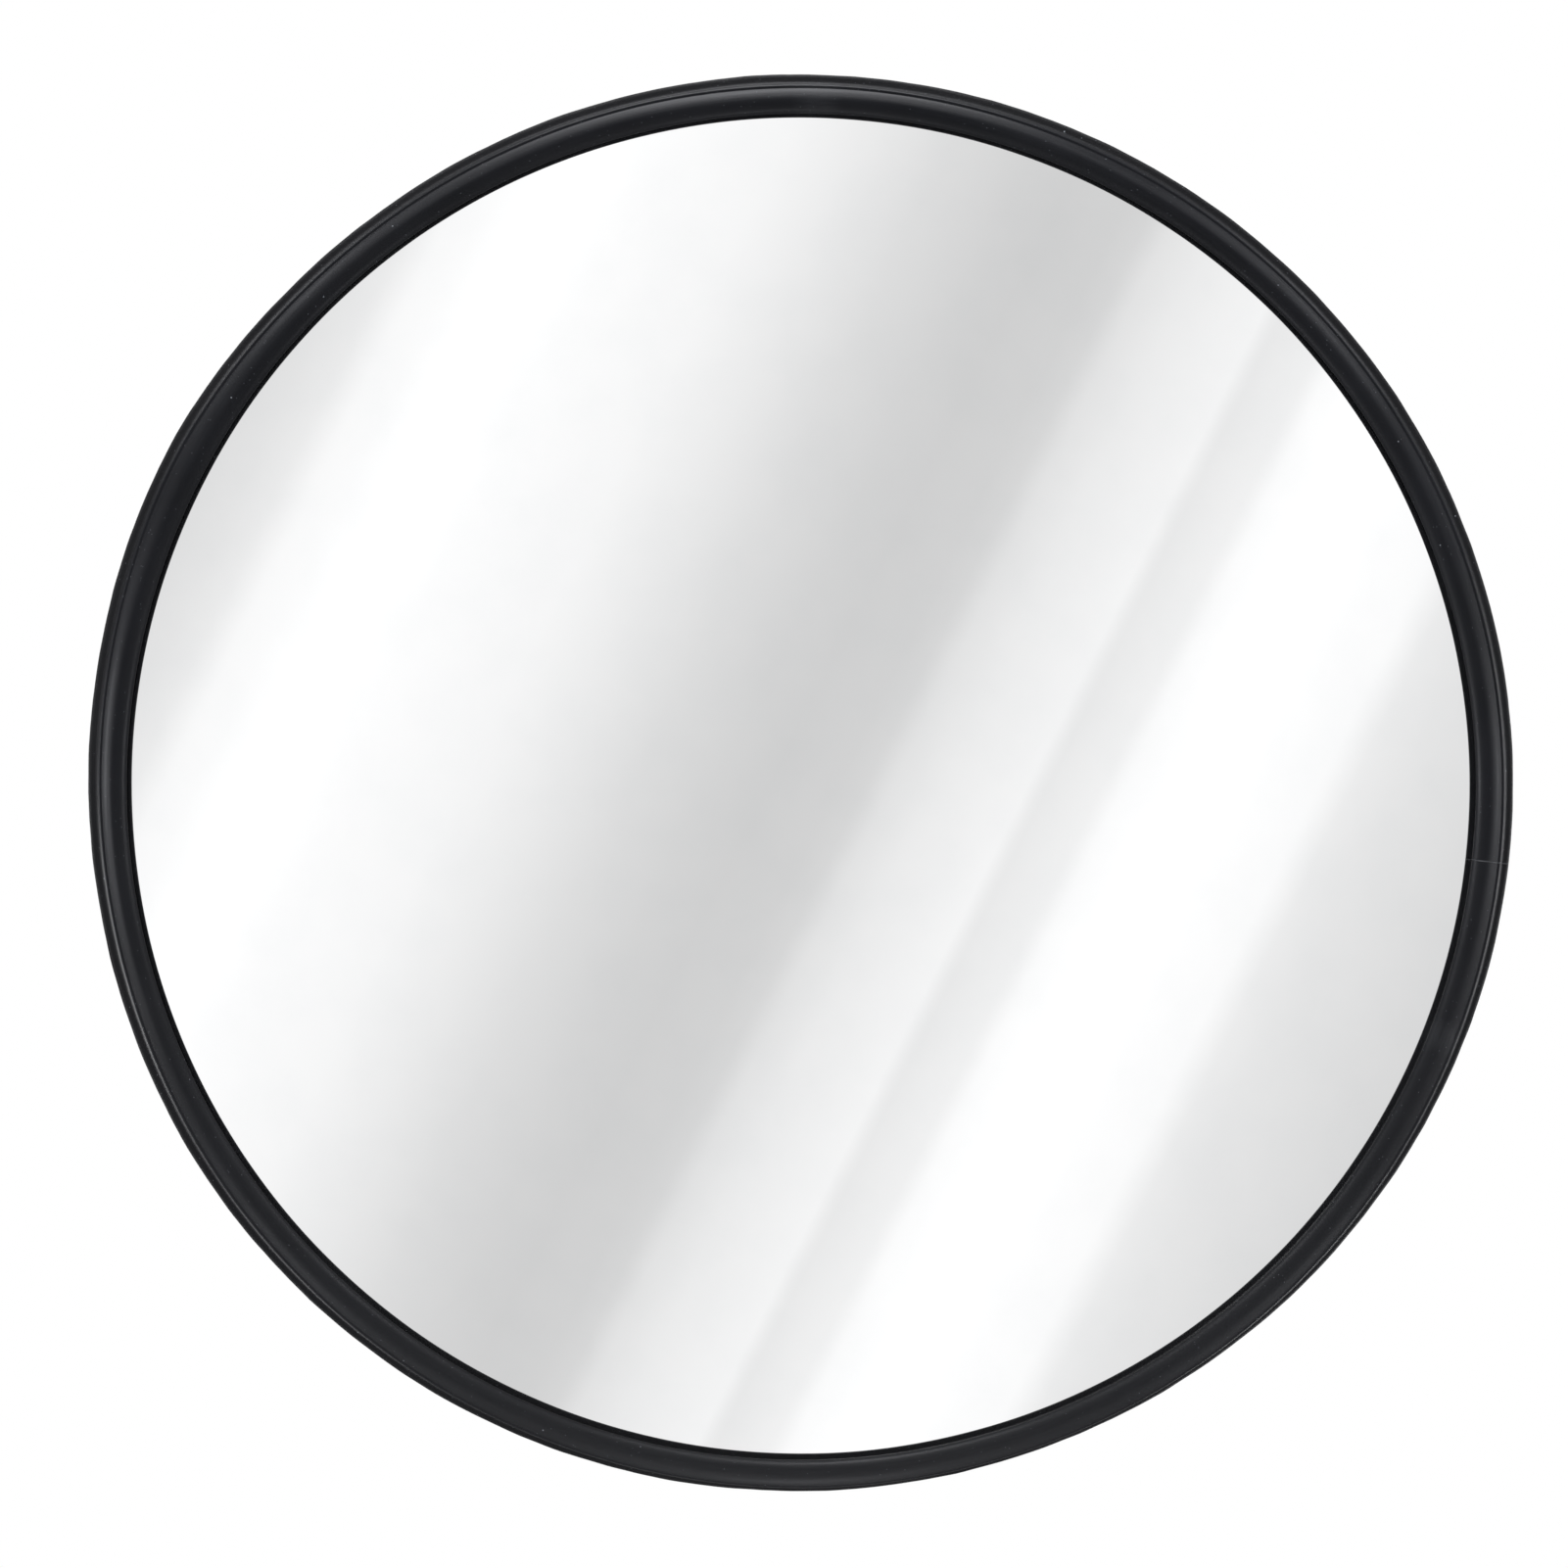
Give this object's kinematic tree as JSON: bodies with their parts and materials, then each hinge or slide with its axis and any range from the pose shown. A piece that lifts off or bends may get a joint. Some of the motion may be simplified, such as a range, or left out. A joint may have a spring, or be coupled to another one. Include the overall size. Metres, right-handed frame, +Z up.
{
  "type": "convex security mirror",
  "caption": "Round domed acrylic mirror in a black rubber edge trim, on a steel wall bracket that pans and tilts and locks with wing nuts.",
  "frame": {"origin": "centre of the wall plate's back face, which is also the centre of its four holes", "axes": "+Z up, +Y into the wall, so the mirror faces -Y, and +X to the right as seen from the room"},
  "size_m": [0.3048, 0.1955, 0.3048],
  "materials": {
    "mirror": "mirror-bright vacuum metallising behind clear acrylic",
    "trim_rubber": "satin extruded rubber",
    "moulded_shell": "fine moulded grain",
    "coated_steel": "satin powder coat",
    "coated_casting": "powder coat over a sand-cast skin",
    "plated_steel": "bright zinc plate",
    "plated_casting": "zinc plate over a forged skin",
    "nylon": "natural nylon",
    "foam": "closed-cell foam"
  },
  "bodies": {
    "wall_bracket": {"wall_plate": "coated_steel", "arm_tube": "coated_steel", "arm_weld": "coated_steel", "pan_barrel": "coated_steel"},
    "swivel": {"swivel_fork": "coated_casting", "pan_bolt": "plated_steel", "pan_thrust_washers": "nylon", "pan_flat_washer": "plated_steel"},
    "pan_washer": {"pan_lock_washer": "plated_steel"},
    "pan_nut": {"pan_wing_nut": "plated_casting"},
    "mirror_head": {"tilt_clevis": "coated_steel", "tilt_bolt": "plated_steel", "tilt_thrust_washers": "nylon", "tilt_flat_washer": "plated_steel", "head_plate": "coated_steel", "head_screws": "plated_steel", "backing_plate": "plated_steel", "head_nuts": "plated_steel", "back_shell": "moulded_shell", "lens_gasket": "foam", "mirror_lens": "mirror", "edge_trim": "trim_rubber"},
    "tilt_washer": {"tilt_lock_washer": "plated_steel"},
    "tilt_nut": {"tilt_wing_nut": "plated_casting"}
  },
  "joints": [
    {"name": "pan", "type": "hinge", "parent": "wall_bracket", "child": "swivel", "pos_m": [0, -0.1, 0], "axis": [0, 0, 1], "range_deg": [-45, 45]},
    {"name": "tilt", "type": "hinge", "parent": "swivel", "child": "mirror_head", "pos_m": [0, -0.1315, 0], "axis": [1, 0, 0], "range_deg": [-45, 45]},
    {"name": "pan_nut_lift", "type": "slide", "parent": "swivel", "child": "pan_washer", "axis": [0, 0, -1], "range_m": [0, 0.001]},
    {"name": "pan_nut_turn", "type": "hinge", "parent": "pan_washer", "child": "pan_nut", "pos_m": [0, -0.1, 0], "axis": [0, 0, -1], "range_deg": [0, 360]},
    {"name": "tilt_nut_lift", "type": "slide", "parent": "mirror_head", "child": "tilt_washer", "axis": [-1, 0, 0], "range_m": [0, 0.001]},
    {"name": "tilt_nut_turn", "type": "hinge", "parent": "tilt_washer", "child": "tilt_nut", "pos_m": [0, -0.1315, 0], "axis": [-1, 0, 0], "range_deg": [0, 360]}
  ],
  "couplings": [
    {"joint": "pan_nut_lift", "follows": "pan_nut_turn", "m_per_rad": 0.00015915},
    {"joint": "tilt_nut_lift", "follows": "tilt_nut_turn", "m_per_rad": 0.00015915}
  ]
}
